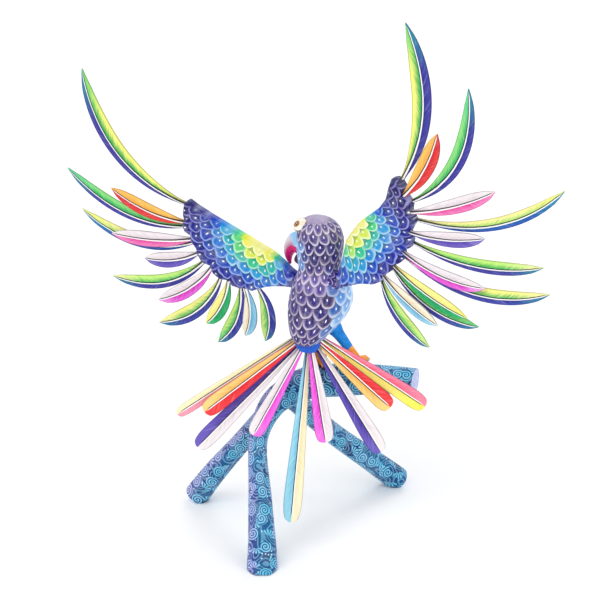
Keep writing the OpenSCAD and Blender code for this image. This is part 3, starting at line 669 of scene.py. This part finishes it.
def make(name, verts, faces, uvs, mat, sharp):
    """Mesh object; verts in millimetres, uvs = {layer: the corners' (u, v), face by face}."""
    me = bpy.data.meshes.new(name)
    me.from_pydata([Vector(v) * MM for v in verts], [], faces)
    for layer, per_face in uvs.items():
        corners = [c for face in per_face for c in face]
        me.uv_layers.new(name=layer).data.foreach_set("uv", [value for c in corners for value in c])
    me.polygons.foreach_set("use_smooth", [True] * len(me.polygons))
    me.set_sharp_from_angle(angle=math.radians(sharp))
    me.materials.append(mat)
    me.update()
    ob = bpy.data.objects.new(name, me)
    bpy.context.scene.collection.objects.link(ob)
    return ob


def skin(name, rings, uv_of, mat, sharp=40.0):
    """Closed surface over rings of points; uv_of(i, k) gives {layer: (u, v)}, k up to the ring's length."""
    n, m = len(rings), len(rings[0])
    verts = [v for r in rings for v in r]
    faces, uvs = [], {layer: [] for layer in uv_of(0, 0)}
    for i in range(n - 1):
        for k in range(m):
            k2 = (k + 1) % m
            faces.append((i * m + k, i * m + k2, (i + 1) * m + k2, (i + 1) * m + k))
            corners = [uv_of(i, k), uv_of(i, k + 1), uv_of(i + 1, k + 1), uv_of(i + 1, k)]
            for layer in uvs:
                uvs[layer].append([c[layer] for c in corners])
    for end in (0, n - 1):
        way = 1 if end else -1
        verts.append(sum((Vector(v) for v in rings[end]), Vector()) / m)
        for k in range(m):
            faces.append((end * m + k, end * m + (k + 1) % m, len(verts) - 1)[::way])
            a, b = uv_of(end, k), uv_of(end, k + 1)
            for layer in uvs:
                inward = way * 3.0 * (layer == "mm")
                mid = ((a[layer][0] + b[layer][0]) / 2, a[layer][1] + inward)
                uvs[layer].append([a[layer], b[layer], mid][::way])
    return make(name, verts, faces, uvs, mat, sharp)


def spline(p, i, t):
    a, b, c, d = p[max(i - 1, 0)], p[i], p[i + 1], p[min(i + 2, len(p) - 1)]
    return tuple(0.5 * (2 * q + (r - o) * t + (2 * o - 5 * q + 4 * r - s) * t * t
                        + (3 * q - o - 3 * r + s) * t ** 3) for o, q, r, s in zip(a, b, c, d))


def dense(p, n):
    """Smooth curve with n points for each stretch of p."""
    pts = [spline(p, i, k / n) for i in range(len(p) - 1) for k in range(n)]
    return pts + [tuple(float(v) for v in p[-1])]


def along(pts):
    """Length of a polyline up to each of its points."""
    acc = [0.0]
    for a, b in zip(pts, pts[1:]):
        acc.append(acc[-1] + math.dist(a, b))
    return acc


def resample(pts, n):
    """n + 1 points at even spacing along a polyline, and its length."""
    acc = along(pts)
    out = []
    for i in range(n + 1):
        s = acc[-1] * i / n
        j = min(max(k for k in range(len(acc)) if acc[k] <= s + 1e-9), len(pts) - 2)
        t = (s - acc[j]) / (acc[j + 1] - acc[j])
        out.append(tuple(a + (b - a) * t for a, b in zip(pts[j], pts[j + 1])))
    return out, acc[-1]


def round_points(m):
    """Cosine and sine of m directions round a circle."""
    return [(math.cos(TAU * k / m), math.sin(TAU * k / m)) for k in range(m)]


def rot(axis, angle):
    return Matrix.Rotation(angle, 4, axis)


def shift(v):
    return Matrix.Translation(Vector(v))


BIRD = shift(BIRD_AT) @ rot("Z", -BIRD_TURN)
TAIL = shift(TAIL_AT) @ rot("X", -TAIL_LEAN)
FACE = shift(HEAD_AT) @ rot("Z", FACE_TURN)


def wing_frame(side):
    x, y, z = SHOULDER[side]
    return BIRD @ shift((side * x, y, z))


def profile(table, u):
    """Smooth width along a feather."""
    for i in range(len(table) - 1):
        if u <= table[i + 1][0] + 1e-9:
            (u0, w0), (u1, w1) = table[i], table[i + 1]
            before, after = table[max(i - 1, 0)], table[min(i + 2, len(table) - 1)]
            m0 = (w1 - before[1]) / (u1 - before[0])
            m1 = (after[1] - w0) / (after[0] - u0)
            t, h = (u - u0) / (u1 - u0), u1 - u0
            return max(0.0, (2 * t ** 3 - 3 * t * t + 1) * w0 + (t ** 3 - 2 * t * t + t) * h * m0
                       + (-2 * t ** 3 + 3 * t * t) * w1 + (t ** 3 - t * t) * h * m1)
    return table[-1][1]


def half_width(table, u, w, tip):
    full, end = profile(table, u), max(0.0, (u - 0.9) / 0.1)
    if table is PADDLE:
        return (SHAFT_W + (tip - SHAFT_W) * end) * (1 - full) + w * full
    return SHAFT_W + (w - SHAFT_W) * full - (SHAFT_W - tip) * end


def feather(name, frame4, length, bow, w, table, mat, lean=0.0, tip=0.25):
    """Carved feather along +X in the XZ plane of frame4; lean widens its +Z vane."""
    rings, info = [], []
    for i in range(FEATHER_STEPS + 1):
        u = 0.5 - 0.5 * math.cos(math.pi * i / FEATHER_STEPS)
        cx, cz = u * length, 4 * bow * u * (1 - u)
        h = math.atan2(4 * bow * (1 - 2 * u), length)
        hw, full = half_width(table, u, w, tip), profile(table, u)
        ht = SHAFT_T + (SHAFT_TIP_T - SHAFT_T) * u ** 3
        ring, row = [], []
        for face in (1, -1):
            for s in FEATHER_ACROSS[::face]:
                lat = s * (hw * (1 + lean * (1 if s > 0 else -1) * full))
                y = EDGE_T + (ht - EDGE_T) * (1 - abs(s)) ** 1.25
                ring.append(frame4 @ Vector((cx - math.sin(h) * lat, -face * y, cz + math.cos(h) * lat)))
                row.append({"uv": (u, (s + 1) / 2), "mm": (u * length, lat)})
        rings.append(ring)
        info.append(row)
    return skin(name, rings, lambda i, k: info[i][k % len(ring)], mat, 50.0)


def bar(path, m, ref=Vector((0, 1, 0))):
    """Rings and uv of a round bar along (x, y, z, r); its pattern's seam lies on the lower far side."""
    pos = [Vector(p[:3]) for p in path]
    n = len(path)
    acc = along(pos)
    rings = []
    for i in range(n):
        t = (pos[min(i + 1, n - 1)] - pos[max(i - 1, 0)]).normalized()
        a = ref.cross(t).normalized()
        b = t.cross(a)
        ring = []
        for k in range(m):
            ang = TAU * k / m + math.pi / 4
            bump = 1 + 0.018 * math.sin(3 * ang + i * 0.21) + 0.014 * math.sin(5 * ang - i * 0.34)
            ring.append(pos[i] + path[i][3] * bump * (math.cos(ang) * a + math.sin(ang) * b))
        rings.append(ring)
    mean = sum(p[3] for p in path) / n
    return rings, lambda i, k: {"mm": (k / m * TAU * mean, acc[i])}


def tube(name, pts, radii, mat, m):
    path = dense([(*p, r) for p, r in zip(pts, radii)], 6)
    t = Vector(pts[-1]) - Vector(pts[0])
    ref = Vector((0, 1, 0)) if abs(t.normalized().y) < 0.8 else Vector((1, 0, 0))
    return skin(name, *bar(path, m, ref), mat)


def ball(name, at, r, mat, seg, squash=(1, 1, 1), turn=Matrix()):
    n = seg // 2
    a, b, high = squash
    mtx = shift(at) @ turn
    rings = []
    for i in range(n + 1):
        th = math.pi * i / n
        rr, z = r * max(math.sin(th), 1e-3), -r * high * math.cos(th)
        rings.append([mtx @ Vector((a * rr * c, b * rr * s, z)) for c, s in round_points(seg)])
    return skin(name, rings, lambda i, k: {"mm": (k / seg * TAU * r, i / n * math.pi * r)}, mat)


def block(name, frame4, xs, ys, zs, mat):
    """Rectangular block between two values of x, y and z of frame4."""
    xs = sorted(xs)
    ring = ((ys[0], zs[0]), (ys[1], zs[0]), (ys[1], zs[1]), (ys[0], zs[1]))
    rings = [[frame4 @ Vector((x, y, z)) for y, z in ring] for x in xs]
    return skin(name, rings, lambda i, k: {"mm": (5.0 * k, xs[i]), "turn": (0.0, 0.0)}, mat)


def both_ways(half):
    return -half, half


def carve(ob, frame4, xs, ys, zs, mat):
    """Cuts a rectangular pocket; its walls take mat."""
    tool = block("carver", frame4, xs, ys, zs, mat)
    mod = ob.modifiers.new("carve", "BOOLEAN")
    mod.operation, mod.solver, mod.material_mode = "DIFFERENCE", "EXACT", "TRANSFER"
    mod.object = tool
    graph = bpy.context.evaluated_depsgraph_get()
    carved = bpy.data.meshes.new_from_object(ob.evaluated_get(graph), depsgraph=graph)
    ob.modifiers.clear()
    whole, ob.data = ob.data, carved
    bpy.data.meshes.remove(whole)
    bpy.data.meshes.remove(tool.data)
    carved.name = ob.name
    carved.set_sharp_from_angle(angle=math.radians(50))


def cut(ob, point, normal):
    """Cuts a bar off square at a plane; the new face takes the saw-cut paint."""
    bm = bmesh.new()
    bm.from_mesh(ob.data)
    got = bmesh.ops.bisect_plane(bm, geom=bm.verts[:] + bm.edges[:] + bm.faces[:], dist=1e-7,
                                 plane_co=Vector(point) * MM, plane_no=normal, clear_outer=True)
    rim = [e for e in got["geom_cut"] if isinstance(e, bmesh.types.BMEdge)]
    face = bmesh.ops.contextual_create(bm, geom=rim)["faces"][0]
    face.material_index = 1
    face.smooth = False
    side = Vector(normal).orthogonal().normalized()
    other = Vector(normal).cross(side)
    uv = bm.loops.layers.uv["mm"]
    for lo in face.loops:
        lo[uv].uv = (lo.vert.co.dot(side) / MM, lo.vert.co.dot(other) / MM)
    bmesh.ops.bevel(bm, geom=rim, offset=CUT_BEVEL * MM, segments=3, profile=0.5, affect="EDGES")
    bm.to_mesh(ob.data)
    bm.free()
    ob.data.set_sharp_from_angle(angle=math.radians(40))


def put(ob, body, slot, *nodes):
    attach(ob, body)
    if nodes:
        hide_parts(*nodes)
    return ob


def wing_feather(side, kind, i, px, pz, ang, length, bow, w=SHORT_W):
    is_long, word = kind == "long", SIDES[side]
    node = f"{word}_{kind}_{i + 1}"
    inner, outer = (LONG_TONES if is_long else SHORT_TONES)[i]
    pos, neg = (inner, outer) if side > 0 else (outer, inner)
    seed = i * 3.1 + (11.0 if side > 0 else 0.0) + (0.0 if is_long else 5.0)
    mat = feather_paint(f"paint_{node}", pos, neg, -side, seed)
    turn = rot("Y", -math.radians(ang if side > 0 else 180 - ang))
    fr = wing_frame(side) @ shift((side * px, ROW_OFFSET if is_long else -ROW_OFFSET, pz)) @ turn
    lean = side * (LONG_LEAN if is_long else SHORT_LEAN)
    ob = feather(f"feather_{node}", fr, length, -side * bow, w, LEAF, mat, lean)
    put(ob, f"{word}_wing", f"{kind}_feather_paint", node)


def tail_paddle(i, px, pz, ang, length, layer, w):
    mat = feather_paint(f"paint_tail_{i + 1}", *TAIL_TONES[i], 1, 40.0 + i * 2.7, 0.65)
    fr = TAIL @ shift((px, -layer * ROW_OFFSET, pz)) @ rot("Y", -math.radians(ang)) @ shift((-TAIL_IN, 0, 0))
    ob = feather(f"feather_tail_{i + 1}", fr, length + TAIL_IN, 0.0, w, PADDLE, mat, 0.0, 1.0)
    put(ob, "figure", "tail_paint", f"tail_{i + 1}")


def wing(side, bare):
    """Domed blank with a scalloped edge, and its tenon."""
    word, fr = SIDES[side], wing_frame(side)
    lead, la = resample(OUTLINE[side][0], WING_ALONG)
    trail, _ = resample(OUTLINE[side][1][::-1], WING_ALONG)
    mx, mz, rise = WING_MID[side]
    rise = math.radians(rise)
    rings, info = [], []
    for i, ((ax, az), (bx, bz)) in enumerate(zip(lead, trail)):
        width = math.dist((ax, az), (bx, bz))
        ring, row = [], []
        for face in (1, -1):
            for j in range(WING_ACROSS + 1)[::face]:
                s = 0.5 - 0.5 * math.cos(math.pi * j / WING_ACROSS)
                px, pz = ax + (bx - ax) * s, az + (bz - az) * s
                across = -(px - mx) * math.sin(rise) + (pz - mz) * math.cos(rise)
                half = WING_T / 2 - (WING_DOME_R - math.sqrt(WING_DOME_R ** 2 - across ** 2))
                to_edge = min(min(s, 1 - s) * width, (WING_ALONG - i) / WING_ALONG * la)
                e = 1 - min(to_edge / WING_EDGE, 1.0)
                half *= 0.5 + 0.5 * math.sqrt(max(0.0, 1 - e * e))
                ring.append(fr @ Vector((side * px, -face * half, pz)))
                row.append({"mm": (i / WING_ALONG * la, s * width)})
        rings.append(ring)
        info.append(row)
    mat = wing_paint(f"paint_{word}_wing", *FOCUS[side])
    ob = skin(f"wing_{word}", rings, lambda i, k: info[i][k % len(ring)], mat, 60.0)
    put(ob, f"{word}_wing", "wing_paint", f"{word}_wing")
    tenon = block(f"tenon_{word}", fr, (-side * TENON_L, side * TENON_IN), both_ways(TENON_T / 2),
                  both_ways(TENON_H / 2), bare)
    put(tenon, f"{word}_wing", "bare_wood")


def body_carving():
    rows = dense(BODY_ROWS, 5)
    acc = along([(z, (rx + ry) / 2) for z, _, rx, ry in rows])
    circle = round_points(BODY_SIDES)
    rings = [[BIRD @ Vector((rx * c, y + ry * s, z)) for c, s in circle] for z, y, rx, ry in rows]

    def uv_of(i, k):
        turn = 360.0 * k / BODY_SIDES
        return {"mm": (turn, acc[-1] - acc[i]), "turn": (turn, rows[i][0])}

    body = skin("body_carving", rings, uv_of, body_paint("paint_body"), 80.0)
    return put(body, "figure", "body_paint", "body")


def shoulder(side, body, knob_mat, pocket_mat, bare):
    """Knob, pocket for the wing's root, and the mortise through body and knob."""
    x, y, z = SHOULDER[side]
    fr = wing_frame(side)
    rings = []
    for i in range(KNOB_RINGS + 1):
        t = i / KNOB_RINGS
        r = KNOB_R - KNOB_TAPER * t if t < KNOB_ROUND else KNOB_END_R - (t - KNOB_ROUND) * KNOB_END_FALL
        out = side * (KNOB_IN + (x - KNOB_IN - SEAT_GAP) * t)
        rings.append([BIRD @ Vector((out, y + r * c, z + side * r * s)) for c, s in round_points(KNOB_SIDES)])

    def uv_of(i, k):
        return {"mm": (KNOB_GIRTH * k / KNOB_SIDES, KNOB_SCALES_AT + i * KNOB_STEP)}

    knob = skin(f"shoulder_{SIDES[side]}", rings, uv_of, knob_mat)
    far = side * POCKET_OUT
    seat, deep = -side * (SEAT_GAP - SEAT_EASE), -side * (TENON_L + SEAT_GAP)
    carve(body, fr, (seat, far), both_ways(WING_T / 2 + POCKET_PLAY), ROOT_SPAN[side], pocket_mat)
    for ob, play in ((body, TENON_PLAY + POCKET_EASE), (knob, TENON_PLAY)):
        carve(ob, fr, (deep, far), both_ways(TENON_T / 2 + play), both_ways(TENON_H / 2 + play), bare)
    put(knob, "figure", "body_paint")


def beak(name, table, mat):
    path = dense(table, 6)
    n = len(path)
    rings = []
    for i, (x, z, high, wide) in enumerate(path):
        a, b = path[max(i - 1, 0)], path[min(i + 1, n - 1)]
        t = Vector((b[0] - a[0], b[1] - a[1])).normalized()
        rings.append([FACE @ Vector((x - t[1] * high * s, wide * c, z + t[0] * high * s))
                      for c, s in round_points(BEAK_SIDES)])

    def uv_of(i, k):
        return {"mm": (k / BEAK_SIDES * 30.0, i * 1.2), "turn": (k / BEAK_SIDES, i / (n - 1))}

    put(skin(name, rings, uv_of, mat), "figure", "body_paint")


def face_way(x, y, z):
    return (rot("Z", FACE_TURN) @ Vector((x, y, z))).normalized()


def eye(word, sg, tree, mats):
    """Eye on the carved head; its patch leans back and outward."""
    lift = EYE_LIFT[sg]
    flat = math.cos(lift)
    d = face_way(math.cos(EYE_TURN) * flat, sg * math.sin(EYE_TURN) * flat, math.sin(lift))
    hit, out, _, _ = tree.ray_cast((FACE @ HEAD_MID + d * 60) * MM, -d)
    out = (out + 0.55 * face_way(-0.58, sg * 0.7, 0.42)).normalized()
    long_way = face_way(0.8, 0, -0.45)
    long_way = (long_way - out * long_way.dot(out)).normalized()
    turn = Matrix((long_way, out.cross(long_way), out)).transposed().to_4x4()
    at = hit / MM
    for part, r, squash, ahead, up, paint in EYE_PARTS:
        ob = ball(f"eye_{part}_{word}", at + out * up + long_way * ahead, r, mats[paint], 28, squash, turn)
        put(ob, "figure", "body_paint")
    # painted glint: a small white ball on the pupil
    glint_at = at + out * GLINT_OUT + long_way * GLINT_ALONG
    put(ball(f"eye_glint_{word}", glint_at, GLINT_R, mats["eye_glint"], 12), "figure", "body_paint")


def tail_block():
    """Wedge that takes the tail pegs."""
    loop, around = resample(TAIL_WEDGE + TAIL_WEDGE[:1], WEDGE_SIDES)
    loop = loop[:-1]
    mid = WEDGE_MID
    rings = [[TAIL @ Vector((mid.x + (x - mid.x) * k, y, mid.y + (z - mid.y) * k)) for x, z in loop]
             for y, k in WEDGE_ROWS]

    def uv_of(i, k):
        return {"mm": (k / WEDGE_SIDES * around, i * 2.0), "turn": loop[k % WEDGE_SIDES]}

    put(skin("tail_block", rings, uv_of, wedge_paint("paint_tail_block")), "figure", "body_paint")


def toe(word, j, foot, toe_mat, claw_mat):
    ax, ay, bx, by, bz = TOES[j]
    a, b = foot + Vector((ax, ay, TOE_START_Z)), foot + Vector((bx, by, bz))
    arch = a.lerp(b, 0.5) + Vector((0, 0, TOE_ARCH))
    put(tube(f"toe_{word}_{j + 1}", (a, arch, b), TOE_R, toe_mat, 18), "figure", "leg_paint")
    out = Vector((bx - ax, by - ay, 0)).normalized()
    claw = [b + out * ahead + Vector((0, 0, up)) for ahead, up in CLAW_AT]
    put(tube(f"claw_{word}_{j + 1}", claw, CLAW_R, claw_mat, 12), "figure", "leg_paint")


def leg(word, foot, hip, leg_mat, toe_mat, claw_mat, bare):
    way, ln = (hip - foot).normalized(), (hip - foot).length
    thigh = [(14, 2.9), (16, 3.2), (ln * 0.58, 3.9), (ln - 14, 5.0), (ln - 6, 5.6), (ln - 3, 4.8)]
    path = dense([(*(foot + way * t), r) for t, r in thigh], 4)
    put(skin(f"leg_{word}", *bar(path, 28), leg_mat), "figure", "leg_paint", f"{word}_leg")
    shank = [foot + way * t for t in SHANK_AT]
    put(tube(f"shank_{word}", shank, SHANK_R, toe_mat, 24), "figure", "leg_paint")
    for j in range(len(TOES)):
        toe(word, j, foot, toe_mat, claw_mat)
    end = foot - way * DOWEL_DOWN
    path = [(*(end + way * (ln + DOWEL_DOWN) * t), DOWEL_R) for t in (0, 0.25, 0.5, 0.75, 1)]
    put(skin(f"dowel_{word}", *bar(path, 20), bare), "figure", "bare_wood", f"{word}_leg_dowel")


def branch(name, rows, steps, seed, end_mat):
    """Painted length of branch, cut level with the floor."""
    ob = skin(name, *bar(dense(rows, steps), BRANCH_SIDES), branch_paint(f"paint_{name}", seed))
    ob.data.materials.append(end_mat)
    cut(ob, (0, 0, 0), Vector((0, 0, -1)))
    return ob


def branches():
    end_mat = plain_paint("paint_saw_cut", "#a9b6e2", "#c4cdf0", 0.5, 0.35)
    perch = branch("branch_perch", BRANCH_ROWS, 9, 0.0, end_mat)
    cut(perch, SAW_AT, Vector((math.cos(SAW_TURN), -math.sin(SAW_TURN), 0)))
    put(perch, "figure", "branch_paint", "perch_branch")
    for (word, (fork, rows)), seed in zip(ROOTS.items(), (31.0, 67.0)):
        way = (Vector(rows[0][:3]) - fork).normalized()
        starts = [(*(fork + way * t), ROOT_R) for t in ROOT_STARTS]
        root = branch(f"branch_{word}_root", starts + rows, 10, seed, end_mat)
        up, low = Vector(rows[1][:3]), Vector(rows[2][:3])
        cut(root, low.lerp(up, END_Z / (up.z - low.z)), (low - up).normalized())
        put(root, "figure", "branch_paint", f"{word}_root")


def floor_plane():
    """Pale floor with the shadow; far from the object the camera sees it as plain white."""
    bpy.ops.mesh.primitive_plane_add(size=FLOOR_SIZE, location=(0, 0, FLOOR_Z))
    ob = bpy.context.object
    ob.name = "floor"
    p = Paint("floor_paint", 0.9, 0.1)
    p.bsdf.inputs["Base Color"].default_value = (1, 1, 1, 1)
    away = p.node("ShaderNodeVectorMath", "LENGTH")
    p.put(away.inputs[0], p.node("ShaderNodeNewGeometry").outputs["Position"])
    both = p.node("ShaderNodeMixShader")
    fade = p.step(*FLOOR_FADE, away.outputs["Value"])
    p.put(both.inputs[0], fade * p.node("ShaderNodeLightPath").outputs["Is Camera Ray"])
    p.put(both.inputs[1], p.bsdf.outputs["BSDF"])
    p.put(both.inputs[2], p.node("ShaderNodeEmission").outputs[0])
    p.put(p.surface, both.outputs[0])
    ob.data.materials.append(p.mat)
    return ob


def aim(ob, at, way):
    ob.location = at
    ob.rotation_euler = way.to_track_quat("-Z", "Y").to_euler()
    scene.collection.objects.link(ob)
    return ob


def lamp(name, at, target, size, watts):
    light = bpy.data.lights.new(name, "AREA")
    light.shape = "DISK"
    light.size = size
    light.energy = watts
    return aim(bpy.data.objects.new(name, light), at, Vector(target) - Vector(at))


def studio_world():
    """Soft even light on the object; the camera and reflections see plain white."""
    world = bpy.data.worlds.new("studio")
    scene.world = world
    world.use_nodes = True
    tree = world.node_tree
    tree.nodes.clear()
    path = tree.nodes.new("ShaderNodeLightPath").outputs
    seen = path["Is Camera Ray"]
    for ray in ("Is Glossy Ray", "Is Transmission Ray"):
        either = tree.nodes.new("ShaderNodeMath")
        either.operation = "MAXIMUM"
        tree.links.new(seen, either.inputs[0])
        tree.links.new(path[ray], either.inputs[1])
        seen = either.outputs[0]
    both = tree.nodes.new("ShaderNodeMixShader")
    tree.links.new(seen, both.inputs[0])
    for i, strength in ((1, SOFT_LIGHT), (2, PLAIN_WHITE)):
        shine = tree.nodes.new("ShaderNodeBackground")
        shine.inputs["Color"].default_value = (1, 1, 1, 1)
        shine.inputs["Strength"].default_value = strength
        tree.links.new(shine.outputs[0], both.inputs[i])
    tree.links.new(both.outputs[0], tree.nodes.new("ShaderNodeOutputWorld").inputs[0])


def camera():
    """Long lens at the photograph's angle."""
    cam = bpy.data.cameras.new("camera")
    cam.sensor_width = SENSOR
    cam.lens = SENSOR * REACH / FIELD
    cam.clip_end = FLOOR_SIZE
    way = Vector((0, math.cos(CAMERA_LIFT), -math.sin(CAMERA_LIFT)))
    return aim(bpy.data.objects.new("camera", cam), CAMERA_AIM - way * REACH, way)


scene = bpy.context.scene

# wings with their feathers, and the tail
for (side, kind), rows in FEATHERS.items():
    for i, row in enumerate(rows):
        wing_feather(side, kind, i, *row)
for i, row in enumerate(TAIL_ROWS):
    tail_paddle(i, *row)
bare = wood_paint("bare_wood")
for side in SIDES:
    wing(side, bare)

# body, shoulders and head
body = body_carving()
knob_mat, pocket_mat = shoulder_paint("paint_shoulder"), plain_paint("paint_pocket", "#231b58", "#352a70")
for side in SIDES:
    shoulder(side, body, knob_mat, pocket_mat, bare)
beak("beak_upper", BEAK_ROWS, beak_paint("paint_beak"))
beak("beak_lower", CHIN_ROWS, plain_paint("paint_chin", "#3a2436", "#5a2f4c"))
head_tree = BVHTree.FromObject(body, bpy.context.evaluated_depsgraph_get())
eye_mats = {key: plain_paint(f"paint_{key}", *tones) for key, tones in EYE_PAINTS.items()}
for word, sg in (("left", 1), ("right", -1)):
    eye(word, sg, head_tree, eye_mats)
tail_block()

# legs and branch
leg_mats = (plain_paint("paint_leg", "#0a78cc", "#1590e2", 0.4, 0.2),
            plain_paint("paint_toes", "#f08a2a", "#f4a84a", 0.42, 0.5),
            plain_paint("paint_claws", "#3a1d16", "#5a2c1c", 0.35, 0.5))
for word, (foot, hip) in LEGS.items():
    leg(word, foot, hip, *leg_mats, bare)
branches()

# stage
floor = floor_plane()
lamps = [lamp(*row) for row in LAMPS]
studio_world()
scene.view_settings.view_transform = "Standard"
scene.camera = camera()

# overall size of the scene's own visible pieces
bpy.context.view_layer.update()
vl, vh = [1e9] * 3, [-1e9] * 3
for ob in scene.objects:
    if ob.type == "MESH" and ob is not floor and ob.name not in frame["nodes"] and not ob.hide_render:
        for v in ob.data.vertices:
            w = ob.matrix_world @ v.co
            for i in range(3):
                vl[i] = min(vl[i], w[i])
                vh[i] = max(vh[i], w[i])
